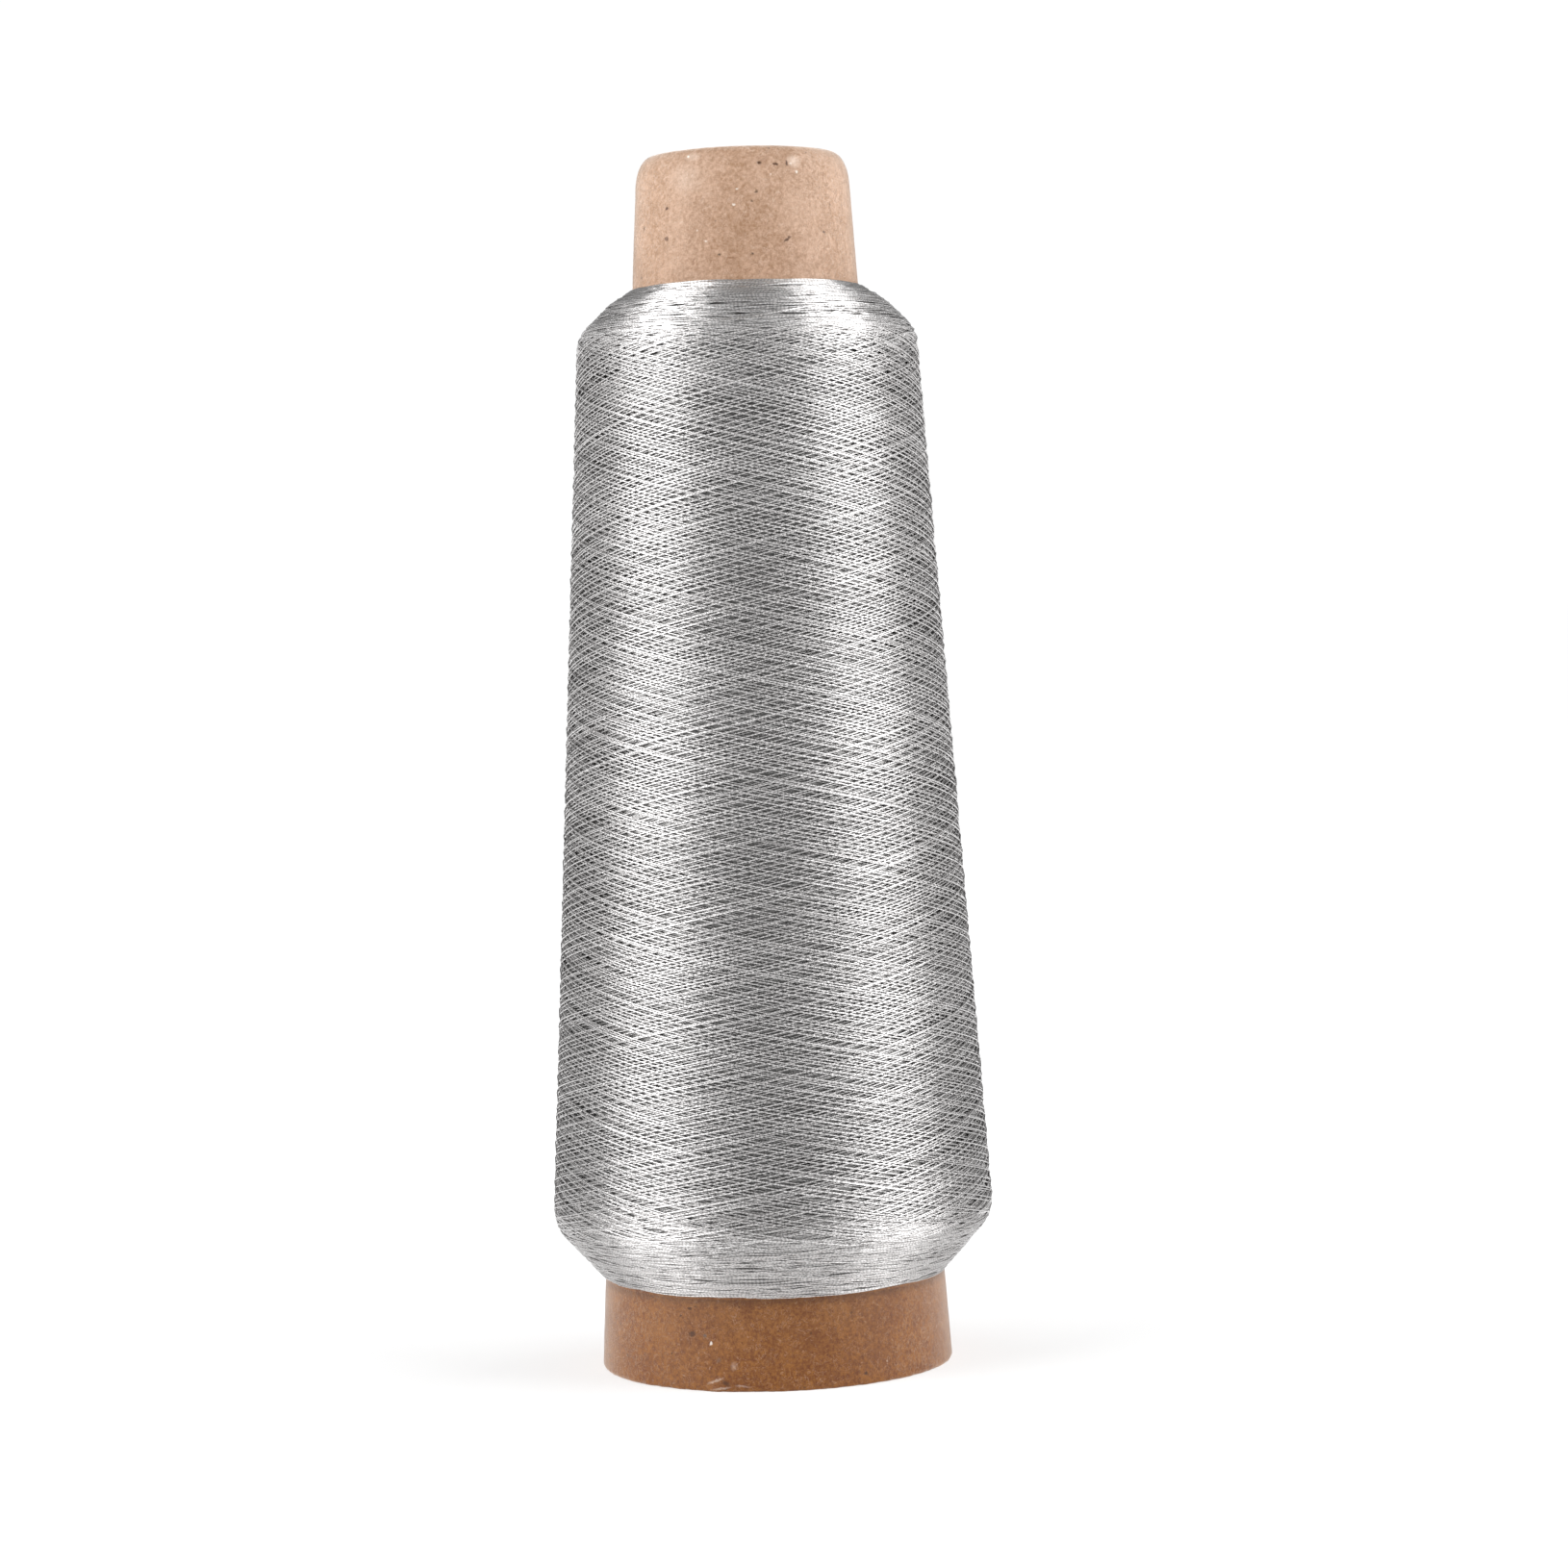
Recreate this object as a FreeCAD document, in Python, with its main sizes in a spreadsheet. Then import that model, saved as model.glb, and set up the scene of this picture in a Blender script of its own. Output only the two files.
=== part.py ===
import FreeCAD, Part
import os
import Sketcher

# A cone of metallic thread.
#
# The tube is a rolled paper cone of three glued layers: a liner ply on the inside, the board
# plies that carry the load, and a smooth face ply.  At the narrow end all three are turned in
# over themselves, which makes a thick, smooth nose that the thread can slide off.  The thread
# is cross-wound on the tube as a sleeve of even thickness with a sloping shoulder at each end;
# the upper shoulder bulges a little.
#
# Units are millimetres.  The origin is the centre of the base, and +Z runs to the nose.

SHEET = "Dimensions"

DRIVING_DIMENSIONS = (
    # alias, value, what it measures
    ("overall_height", 190.0, "base of the paper cone to the crown of its nose"),
    ("base_diameter", 55.4, "outside of the cone at its base"),
    ("nose_diameter", 33.0, "outside of the cone if its side ran straight on to the crown"),
    ("face_ply", 0.4, "smooth paper on the outside of the cone"),
    ("board_plies", 1.5, "rolled board between face and liner"),
    ("liner_ply", 0.4, "paper on the inside of the cone"),
    ("base_edge_round", 0.3, "worn outer corner of the face ply at the cut base"),
    ("nose_run_in", 5.0, "depth below the crown at which the side starts to curve in"),
    ("nose_taper", 0.7, "how far the side leans in before the nose rounds over"),
    ("nose_blend", 12.0, "radius that blends the cone's side into its nose"),
    ("nose_round", 1.9, "radius of the nose's outer corner"),
    ("lip_round", 1.5, "radius of the nose's inner corner"),
    ("lip_depth", 9.0, "how far the paper is turned down inside the nose"),
    ("winding_start", 13.9, "height at which the thread leaves the cone near the base"),
    ("winding_end", 169.6, "height at which the thread leaves the cone near the nose"),
    ("winding_thickness", 8.65, "thread build-up on the cone's side, measured level"),
    ("lower_shoulder", 22.9, "height of the corner between lower shoulder and side"),
    ("upper_shoulder", 162.2, "height of the corner between upper shoulder and side"),
    ("lower_shoulder_round", 6.5, "radius of the lower shoulder's corner"),
    ("upper_shoulder_round", 5.0, "radius of the upper shoulder's corner"),
    ("upper_bend", 167.3, "height at which the upper shoulder grows flatter"),
    ("upper_bend_thickness", 3.8, "thread build-up at that bend, measured level"),
    ("upper_bend_round", 12.0, "radius that smooths that bend"),
)

# Heights that several sections share, as formulas of the sheet's cells.
BASE = "0"
CROWN = "<overall_height>"
NOSE_START = "<overall_height> - <nose_run_in>"
LIP_END = "<overall_height> - <lip_depth>"

# Depths into the paper wall, measured level from the cone's outer side.
FACE_DEPTH = "<face_ply>"
BOARD_DEPTH = "(<face_ply> + <board_plies>)"
WALL_DEPTH = "(<face_ply> + <board_plies> + <liner_ply>)"
FOLD_DEPTH = "(<face_ply> + <board_plies> + 2 * <liner_ply>)"
TURNED_BOARD_DEPTH = "(<face_ply> + 2 * <board_plies> + 2 * <liner_ply>)"
TURNED_FACE_DEPTH = "(2 * <face_ply> + 2 * <board_plies> + 2 * <liner_ply>)"

document = FreeCAD.newDocument("ThreadCone")
sheet = document.addObject("Spreadsheet::Sheet", SHEET)


def fill_sheet():
    """Write the driving dimensions into the spreadsheet, one row each."""
    for row, (alias, value, meaning) in enumerate(DRIVING_DIMENSIONS, start=1):
        sheet.set(f"A{row}", alias)
        sheet.set(f"B{row}", str(value))
        sheet.setAlias(f"B{row}", alias)
        sheet.set(f"C{row}", meaning)
    document.recompute()


def bound(formula):
    """Turn each <alias> in a formula into a reference to its cell."""
    return formula.replace("<", f"{SHEET}.").replace(">", "")


def value_of(formula):
    """Number that a formula gives with the sheet's present values."""
    return float(sheet.evalExpression(bound(formula)))


def side(height, depth="0"):
    """Formula for the radius of the cone's side at a height, a depth into its wall."""
    slope = "(<base_diameter> - <nose_diameter>) / (2 * <overall_height>)"
    return f"<base_diameter> / 2 - {slope} * ({height}) - ({depth})"


def origin_plane(body, role):
    """One of the body's own origin planes."""
    for feature in body.Origin.OriginFeatures:
        if feature.Role == role:
            return feature
    raise ValueError(f"{body.Label} has no {role}")


def section_sketch(body, corners):
    """Closed half-section in the XZ plane, each corner a pair of formulas: radius, height."""
    sketch = body.newObject("Sketcher::SketchObject", f"{body.Name}_section")
    sketch.AttachmentSupport = [(origin_plane(body, "XZ_Plane"), "")]
    sketch.MapMode = "FlatFace"
    points = [FreeCAD.Vector(value_of(radius), value_of(height), 0) for radius, height in corners]
    count = len(points)
    for index in range(count):
        sketch.addGeometry(Part.LineSegment(points[index], points[(index + 1) % count]), False)

    start, end, origin, level_axis = 1, 2, -1, -1
    for index in range(count):
        following = (index + 1) % count
        sketch.addConstraint(Sketcher.Constraint("Coincident", index, end, following, start))
    for index, (radius, height) in enumerate(corners):
        across = Sketcher.Constraint("DistanceX", origin, 1, index, start, points[index].x)
        number = sketch.addConstraint(across)
        sketch.setExpression(f"Constraints[{number}]", bound(radius))
        if height == BASE:
            sketch.addConstraint(Sketcher.Constraint("PointOnObject", index, start, level_axis))
        else:
            up = Sketcher.Constraint("DistanceY", origin, 1, index, start, points[index].y)
            number = sketch.addConstraint(up)
            sketch.setExpression(f"Constraints[{number}]", bound(height))
    return sketch


def revolved_body(label, corners):
    """Body turned from a half-section about the cone's axis."""
    body = document.addObject("PartDesign::Body", label)
    body.Label = label
    body.Placement = FreeCAD.Placement()
    sketch = section_sketch(body, corners)
    turned = body.newObject("PartDesign::Revolution", f"{label}_turned")
    turned.Profile = sketch
    turned.ReferenceAxis = (sketch, ["V_Axis"])
    turned.Angle = 360
    sketch.Visibility = False
    document.recompute()
    return body


def circular_edge(shape, radius, height):
    """Name of the round edge of this radius that lies at this height."""
    tolerance = 0.001
    for number, edge in enumerate(shape.Edges, start=1):
        if not isinstance(edge.Curve, Part.Circle):
            continue
        same_radius = abs(edge.Curve.Radius - radius) < tolerance
        same_height = abs(edge.Curve.Center.z - height) < tolerance
        if same_radius and same_height:
            return f"Edge{number}"
    raise ValueError(f"no edge of radius {radius:.3f} at height {height:.3f}")


def round_corner(body, name, corner, radius):
    """Round off the corner that the section had at this radius and height."""
    base = body.Tip
    edge = circular_edge(base.Shape, value_of(corner[0]), value_of(corner[1]))
    fillet = body.newObject("PartDesign::Fillet", f"{body.Name}_{name}")
    fillet.Base = (base, [edge])
    fillet.Radius = value_of(radius)
    fillet.setExpression("Radius", bound(radius))
    body.Tip = fillet
    document.recompute()


def nose_corners(depth, turned_depth):
    """Three corners of the nose at a depth under its surface: start, outer and inner crown."""
    crown = f"{CROWN} - {depth}"
    start = (side(NOSE_START, depth), NOSE_START)
    outer = (side(CROWN, f"<nose_taper> + {depth}"), crown)
    inner = (side(CROWN, turned_depth), crown)
    return start, outer, inner


def round_nose(body, name, depth, turned_depth):
    """Blend and round the three nose corners at a depth under the surface."""
    start, outer, inner = nose_corners(depth, turned_depth)
    round_corner(body, f"{name}_blend", start, f"<nose_blend> - {depth}")
    round_corner(body, f"{name}_crown", outer, f"<nose_round> - {depth}")
    round_corner(body, f"{name}_lip", inner, f"<lip_round> - {depth}")


def make_face_ply():
    """Outer paper: up the side, over the nose and down inside it."""
    outside = nose_corners("0", TURNED_FACE_DEPTH)
    underside = nose_corners(FACE_DEPTH, TURNED_BOARD_DEPTH)
    base_corner = (side(BASE), BASE)
    corners = [base_corner, *outside]
    corners.append((side(LIP_END, TURNED_FACE_DEPTH), LIP_END))
    corners.append((side(LIP_END, TURNED_BOARD_DEPTH), LIP_END))
    corners.extend(reversed(underside))
    corners.append((side(BASE, FACE_DEPTH), BASE))
    body = revolved_body("cone_face_ply", corners)
    round_nose(body, "outside", "0", TURNED_FACE_DEPTH)
    round_nose(body, "underside", FACE_DEPTH, TURNED_BOARD_DEPTH)
    round_corner(body, "worn_base", base_corner, "<base_edge_round>")
    return body


def make_board_plies():
    """Load-bearing board: fills the nose, and is folded round the liner below it."""
    corners = [(side(BASE, FACE_DEPTH), BASE)]
    corners.extend(nose_corners(FACE_DEPTH, TURNED_BOARD_DEPTH))
    corners.append((side(LIP_END, TURNED_BOARD_DEPTH), LIP_END))
    corners.append((side(LIP_END, FOLD_DEPTH), LIP_END))
    corners.append((side(NOSE_START, FOLD_DEPTH), NOSE_START))
    corners.append((side(NOSE_START, BOARD_DEPTH), NOSE_START))
    corners.append((side(BASE, BOARD_DEPTH), BASE))
    body = revolved_body("cone_board_plies", corners)
    round_nose(body, "outside", FACE_DEPTH, TURNED_BOARD_DEPTH)
    return body


def make_liner_ply():
    """Inner paper: lines the hollow, and is doubled where the lip is turned in."""
    corners = [
        (side(BASE, BOARD_DEPTH), BASE),
        (side(NOSE_START, BOARD_DEPTH), NOSE_START),
        (side(NOSE_START, FOLD_DEPTH), NOSE_START),
        (side(LIP_END, FOLD_DEPTH), LIP_END),
        (side(LIP_END, WALL_DEPTH), LIP_END),
        (side(BASE, WALL_DEPTH), BASE),
    ]
    return revolved_body("cone_liner_ply", corners)


def make_thread_winding():
    """Cross-wound thread, as the closed outer shape of the whole package."""
    build_up = "-<winding_thickness>"
    lower_corner = (side("<lower_shoulder>", build_up), "<lower_shoulder>")
    upper_corner = (side("<upper_shoulder>", build_up), "<upper_shoulder>")
    upper_bend = (side("<upper_bend>", "-<upper_bend_thickness>"), "<upper_bend>")
    corners = [
        (side("<winding_start>"), "<winding_start>"),
        lower_corner,
        upper_corner,
        upper_bend,
        (side("<winding_end>"), "<winding_end>"),
    ]
    body = revolved_body("thread_winding", corners)
    round_corner(body, "lower_shoulder", lower_corner, "<lower_shoulder_round>")
    round_corner(body, "upper_shoulder", upper_corner, "<upper_shoulder_round>")
    round_corner(body, "upper_bend", upper_bend, "<upper_bend_round>")
    return body


def check_document(bodies):
    """Stop if any object failed to compute, or any piece is not one sound solid."""
    for item in document.Objects:
        if "Invalid" in item.State or "Error" in item.State:
            raise RuntimeError(f"{item.Label} is {item.State}")
    for body in bodies:
        shape = body.Shape
        if shape.isNull() or not shape.isValid() or len(shape.Solids) != 1:
            raise RuntimeError(f"{body.Label} is not one sound solid")


def write_parts(bodies):
    """Write each piece to its own file, and print its size for the reader."""
    os.makedirs("parts", exist_ok=True)
    for body in bodies:
        body.Shape.exportStep(f"parts/{body.Label}.step")
        box = body.Shape.BoundBox
        volume = body.Shape.Volume / 1000
        print(f"{body.Label}: {volume:.2f} cm3, z {box.ZMin:.2f} to {box.ZMax:.2f} mm")


fill_sheet()
pieces = [make_face_ply(), make_board_plies(), make_liner_ply(), make_thread_winding()]
check_document(pieces)
write_parts(pieces)
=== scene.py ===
import math

import bpy
import numpy as np
from mathutils import Matrix, Vector, noise


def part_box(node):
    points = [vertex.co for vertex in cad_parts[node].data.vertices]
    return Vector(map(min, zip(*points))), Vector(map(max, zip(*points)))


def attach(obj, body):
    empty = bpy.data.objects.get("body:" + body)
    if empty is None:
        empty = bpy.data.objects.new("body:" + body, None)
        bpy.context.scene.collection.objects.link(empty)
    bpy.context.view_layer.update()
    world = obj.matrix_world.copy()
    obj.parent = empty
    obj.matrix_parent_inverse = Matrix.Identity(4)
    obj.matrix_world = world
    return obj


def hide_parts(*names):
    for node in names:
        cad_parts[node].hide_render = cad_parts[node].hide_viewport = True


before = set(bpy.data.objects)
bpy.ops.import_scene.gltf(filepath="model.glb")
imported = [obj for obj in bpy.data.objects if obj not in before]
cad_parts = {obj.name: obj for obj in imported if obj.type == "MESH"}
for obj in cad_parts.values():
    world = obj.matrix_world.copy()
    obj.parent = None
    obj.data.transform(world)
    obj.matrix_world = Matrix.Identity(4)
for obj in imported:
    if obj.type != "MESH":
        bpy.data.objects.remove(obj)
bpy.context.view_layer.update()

# The look of a thread cone: a rolled kraft paper cone with metallic thread cross-wound on it.
#
# Lengths are in metres.  A surface place is given by a turn angle about the Z axis, where 0 is
# +X and -90 degrees faces the camera, and by a distance along an outline of the half-section.
# The paper is three turned pieces.  The thread is two cross-wound layers, short arcs on the two
# shoulders, and a closed core under them all.

MM = 0.001
TURN = 2 * math.pi
SEED = 20

# ---------------------------------------------------------------------------
# Sizes of the CAD model
# ---------------------------------------------------------------------------

face_low, face_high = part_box("cone_face_ply")
wound_low, wound_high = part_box("thread_winding")
HEIGHT = face_high.z
BASE_RADIUS = (face_high.x - face_low.x) / 2
WINDING_START = wound_low.z
WINDING_END = wound_high.z

# The paper cone, as in the CAD design.
NOSE_RADIUS = 16.5 * MM  # of the cone's side, run straight on to the crown
FACE_PLY = 0.4 * MM
BOARD = 1.5 * MM
LINER_PLY = 0.4 * MM
WALL = FACE_PLY + BOARD + LINER_PLY
NOSE_RUN_IN = 5.0 * MM
LIP_DEPTH = 9.0 * MM

# The winding, as in the CAD design.
BUILD_UP = 8.65 * MM
LOWER_SHOULDER = 22.9 * MM
UPPER_SHOULDER = 162.2 * MM
UPPER_BEND = 167.3 * MM
BEND_BUILD_UP = 3.8 * MM
LOWER_ROUND = 6.5 * MM
UPPER_ROUND = 5.0 * MM
BEND_ROUND = 12.0 * MM

THREAD_RADIUS = 0.11 * MM


def side_radius(height):
    """Outer radius of the paper cone at a height."""
    return BASE_RADIUS - (BASE_RADIUS - NOSE_RADIUS) * height / HEIGHT


# ---------------------------------------------------------------------------
# Outlines of the half-section
# ---------------------------------------------------------------------------

def rounded_outline(corners, rounds, step):
    """Points (radius, height) of a path through corners, with each inner corner rounded.

    rounds holds one radius for each inner corner; step is the greatest distance between points.
    """
    corners = [np.array(corner, float) for corner in corners]
    path = [corners[0]]
    for before, corner, after, radius in zip(corners, corners[1:], corners[2:], rounds):
        come = (corner - before) / np.linalg.norm(corner - before)
        leave = (after - corner) / np.linalg.norm(after - corner)
        bend = math.acos(float(np.clip(come @ leave, -1, 1)))
        if radius == 0 or bend < 0.001:
            path.append(corner)
            continue
        reach = radius * math.tan(bend / 2)
        start = corner - come * reach
        inward = leave - come * float(come @ leave)
        inward = inward / np.linalg.norm(inward)
        centre = start + inward * radius
        pieces = max(3, math.ceil(bend * radius / step))
        for share in np.linspace(0, bend, pieces + 1):
            path.append(centre - inward * radius * math.cos(share) + come * radius * math.sin(share))
    path.append(corners[-1])

    points = [path[0]]
    for end in path[1:]:
        begin = points[-1]
        pieces = max(1, math.ceil(np.linalg.norm(end - begin) / step))
        points.extend(begin + (end - begin) * k / pieces for k in range(1, pieces + 1))
    return np.array(points)


class Outline:
    """A path in the half-section that can be asked for its place and normal at a distance."""

    def __init__(self, points):
        self.points = points
        run = np.linalg.norm(np.diff(points, axis=0), axis=1)
        self.distance = np.concatenate([[0], np.cumsum(run)])
        self.length = self.distance[-1]
        along = np.gradient(points, self.distance, axis=0)
        along /= np.linalg.norm(along, axis=1)[:, None]
        self.normal = np.stack([along[:, 1], -along[:, 0]], axis=1)

    def at(self, distance):
        """Radius, height and outward normal at each distance along the path."""
        columns = (*self.points.T, *self.normal.T)
        return [np.interp(distance, self.distance, column) for column in columns]

    def distance_at_height(self, height):
        """Distance along the path at which it first reaches a height."""
        return float(np.interp(height, self.points[:, 1], self.distance))


def winding_outline():
    """Outer side of the winding, from the base end to the nose end."""
    corners = [
        (side_radius(WINDING_START), WINDING_START),
        (side_radius(LOWER_SHOULDER) + BUILD_UP, LOWER_SHOULDER),
        (side_radius(UPPER_SHOULDER) + BUILD_UP, UPPER_SHOULDER),
        (side_radius(UPPER_BEND) + BEND_BUILD_UP, UPPER_BEND),
        (side_radius(WINDING_END), WINDING_END),
    ]
    return Outline(rounded_outline(corners, (LOWER_ROUND, UPPER_ROUND, BEND_ROUND), 0.5 * MM))


# ---------------------------------------------------------------------------
# Mesh making
# ---------------------------------------------------------------------------

BAKE_MAP = "OFBake"  # name of the map that the thread pieces carry for baking
SEGMENTS = 240  # round a turned piece


def mesh_object(name, points, quads, node, material, bake_corners=None):
    """Smooth-shaded object of quads that rides on the part's body and stands for a CAD node."""
    mesh = bpy.data.meshes.new(name)
    mesh.vertices.add(len(points))
    mesh.vertices.foreach_set("co", np.asarray(points, np.float32).ravel())
    mesh.loops.add(quads.size)
    mesh.loops.foreach_set("vertex_index", quads.astype(np.int32).ravel())
    mesh.polygons.add(len(quads))
    mesh.polygons.foreach_set("loop_start", np.arange(0, quads.size, 4, dtype=np.int32))
    mesh.polygons.foreach_set("use_smooth", np.ones(len(quads), dtype=bool))
    mesh.update(calc_edges=True)
    if bake_corners is not None:
        layer = mesh.uv_layers.new(name=BAKE_MAP)
        layer.data.foreach_set("uv", bake_corners.astype(np.float32).ravel())
    mesh.materials.append(material)
    piece = bpy.data.objects.new(name, mesh)
    bpy.context.scene.collection.objects.link(piece)
    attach(piece, "root")
    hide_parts(node)
    return piece


def grid_quads(rows, columns, close_rows):
    """Quads of a grid that closes on itself across, and end to end too if close_rows."""
    last = rows if close_rows else rows - 1
    row = np.arange(last)[:, None]
    column = np.arange(columns)[None, :]
    following_row = (row + 1) % rows
    following_column = (column + 1) % columns
    corner_a = row * columns + column
    corner_b = following_row * columns + column
    corner_c = following_row * columns + following_column
    corner_d = row * columns + following_column
    return np.stack([corner_a, corner_b, corner_c, corner_d], axis=-1).reshape(-1, 4)


def turned_piece(name, outline_points, segments, node, material, relief):
    """Closed solid of revolution whose surface is moved along its normal by relief()."""
    points = np.array(outline_points)
    along = np.roll(points, -1, axis=0) - np.roll(points, 1, axis=0)
    along /= np.linalg.norm(along, axis=1)[:, None]
    normals = np.stack([along[:, 1], -along[:, 0]], axis=1)
    angles = np.arange(segments) * TURN / segments
    offset = relief(points, angles)
    across = points[:, :1] + offset * normals[:, :1]
    up = np.maximum(points[:, 1:] + offset * normals[:, 1:], 0)
    mesh_points = np.stack([across * np.cos(angles), across * np.sin(angles), up], axis=-1)
    quads = grid_quads(len(points), segments, True)[:, ::-1]
    mesh_object(name, mesh_points.reshape(-1, 3), quads, node, material)


def smooth(points, angles):
    """Relief of a face that stays where it is."""
    return np.zeros((len(points), len(angles)))


# ---------------------------------------------------------------------------
# Thread
# ---------------------------------------------------------------------------

STEPS_PER_TURN = 54
TURNS_PER_TRAVERSE = 3.191  # two traverses advance by a golden share of a turn
UPPER_CYCLES = 76  # one cycle is two traverses, up and down
LOWER_CYCLES = 84
LAYER_DEPTH = 0.36 * MM
TWIST_PITCH = 0.6 * MM
THREAD_SIDES = 6  # of a thread's cross-section
LOWER_SIDES = 4  # the same in the lower layer, which shows less
UNDER_ARCS = 360  # on a shoulder
TOP_ARCS = 560
UNDER_DEPTHS = (0.25 * MM, 0.5 * MM)  # least and greatest, under the outline
TOP_DEPTHS = (0, 0.25 * MM)


class Strand:
    """Path of one run of thread: turn angles, distances along the outline, depths and tones."""

    def __init__(self, angles, distances, depths, tones):
        self.angles = angles
        self.distances = distances
        self.depths = depths
        self.tones = np.broadcast_to(tones, len(angles))

    def cut(self, first, last):
        """Stretch of the strand, from its point number first up to last."""
        stretch = slice(first, last + 1)
        return Strand(
            self.angles[stretch], self.distances[stretch], self.depths[stretch], self.tones[stretch]
        )


def tube_rings(strand, outline, sides):
    """Rings of vertices round a strand that lies at its depths under the winding's outline."""
    across, up, normal_across, normal_up = outline.at(strand.distances)
    across = across - strand.depths * normal_across
    up = up - strand.depths * normal_up
    cosine, sine = np.cos(strand.angles), np.sin(strand.angles)
    centre = np.stack([across * cosine, across * sine, up], axis=1)
    outward = np.stack([normal_across * cosine, normal_across * sine, normal_up], axis=1)
    along = np.gradient(centre, axis=0)
    along /= np.linalg.norm(along, axis=1)[:, None]
    sideways = np.cross(along, outward)
    sideways /= np.linalg.norm(sideways, axis=1)[:, None]
    outward = np.cross(sideways, along)
    turns = np.arange(sides) * TURN / sides
    ring = (
        np.cos(turns)[None, :, None] * outward[:, None, :]
        + np.sin(turns)[None, :, None] * sideways[:, None, :]
    )
    return centre[:, None, :] + THREAD_RADIUS * ring


def cap_quads(rows, sides):
    """Quads that close both ends of a tube with an even number of sides."""
    first = np.array([[0, k, k + 1, k + 2] for k in range(1, sides - 2, 2)])
    last = (rows - 1) * sides + first[:, ::-1]
    return np.concatenate([first, last])


def wall_bake_corners(rows, sides, first_lane, lanes):
    """Bake map corners of a tube's wall: one lane of the map for each turn of the thread."""
    step = np.arange(rows - 1)
    lane = first_lane + step // STEPS_PER_TURN
    start = (step % STEPS_PER_TURN) / STEPS_PER_TURN
    end = start + 1 / STEPS_PER_TURN
    side = np.arange(sides) / sides
    low = (lane[:, None] + side[None, :]) / lanes
    high = low + 1 / (sides * lanes)
    start = np.broadcast_to(start[:, None], low.shape)
    end = np.broadcast_to(end[:, None], low.shape)
    corners = [(start, low), (end, low), (end, high), (start, high)]
    return np.stack([np.stack(corner, axis=-1) for corner in corners], axis=2).reshape(-1, 2)


def strand_piece(name, strands, outline, sides, material):
    """One mesh of many strands, each a closed tube with its own tones."""
    turns_each = [math.ceil((len(strand.angles) - 1) / STEPS_PER_TURN) for strand in strands]
    lanes = sum(turns_each)
    points, quads, tones, lengths, bake_corners = [], [], [], [], []
    count, lane = 0, 0
    for strand, turns in zip(strands, turns_each):
        rings = tube_rings(strand, outline, sides)
        rows = len(rings)
        caps = cap_quads(rows, sides)
        points.append(rings.reshape(-1, 3))
        quads.extend([grid_quads(rows, sides, False) + count, caps + count])
        bake_corners.append(wall_bake_corners(rows, sides, lane, lanes))
        bake_corners.append(np.full((caps.size, 2), (lane + 0.5) / lanes))
        tones.append(np.repeat(strand.tones, sides))
        steps = np.linalg.norm(np.diff(rings.mean(axis=1), axis=0), axis=1)
        lengths.append(np.repeat(np.concatenate([[0], np.cumsum(steps)]), sides))
        count += rows * sides
        lane += turns
    piece = mesh_object(
        name, np.concatenate(points), np.concatenate(quads),
        "thread_winding", material, np.concatenate(bake_corners),
    )
    for attribute, values in (("tone", tones), ("length_along", lengths)):
        layer = piece.data.attributes.new(attribute, "FLOAT", "POINT")
        layer.data.foreach_set("value", np.concatenate(values).astype(np.float32))


def wound_strand(random, outline, cycles, first_depth, last_depth):
    """One unbroken run of thread, back and forth between the shoulders.

    The run is nearly straight on the unrolled side and turns in a short bend at each end.  How
    round each bend is, and where each traverse lies, both vary a little.
    """
    past_corner = 1.2 * MM
    angle_spread = 0.028
    depth_spread = 0.02 * MM
    low = outline.distance_at_height(LOWER_SHOULDER) - past_corner
    high = outline.distance_at_height(UPPER_SHOULDER) + past_corner
    span = high - low
    traverses = 2 * cycles
    count = round(traverses * TURNS_PER_TRAVERSE * STEPS_PER_TURN)
    done = np.linspace(0, traverses, count + 1)
    number = np.minimum(done.astype(int), traverses - 1)
    share = done - number

    bends = random.uniform(0.5, 2.6, traverses + 1) * MM
    from_start = span * share
    to_end = span * (1 - share)
    leaving = np.hypot(from_start, bends[number]) - from_start
    arriving = np.hypot(to_end, bends[number + 1]) - to_end
    climbed = from_start + leaving - arriving
    distances = np.where(number % 2 == 0, low + climbed, high - climbed)

    middles = np.arange(traverses) + 0.5
    slips = random.normal(0, angle_spread, traverses)
    start = random.uniform(0, TURN)
    angles = start + done * TURNS_PER_TRAVERSE * TURN + np.interp(done, middles, slips)

    lifts = random.normal(0, depth_spread, traverses)
    depths = first_depth + (last_depth - first_depth) * done / traverses
    depths = depths + np.interp(done, middles, lifts)

    strand_tones = random.uniform(0, 1, traverses)
    tones = 0.7 * np.interp(done, middles, strand_tones) + 0.3 * random.uniform(0, 1, len(done))
    return Strand(angles, distances, depths, tones)


def wound_layer(random, name, outline, cycles, pieces, depth, sides, material):
    """A layer of thread as one run, cut into several meshes of equal length.

    The run starts at a depth under the outline and ends one layer's depth further out.
    """
    run = wound_strand(random, outline, cycles, depth, depth - LAYER_DEPTH)
    ends = np.linspace(0, len(run.angles) - 1, pieces + 1).astype(int)
    for number, (first, last) in enumerate(zip(ends, ends[1:]), start=1):
        stretch = run.cut(first, last)
        strand_piece(f"{name}_{number}", [stretch], outline, sides, material)


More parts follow.
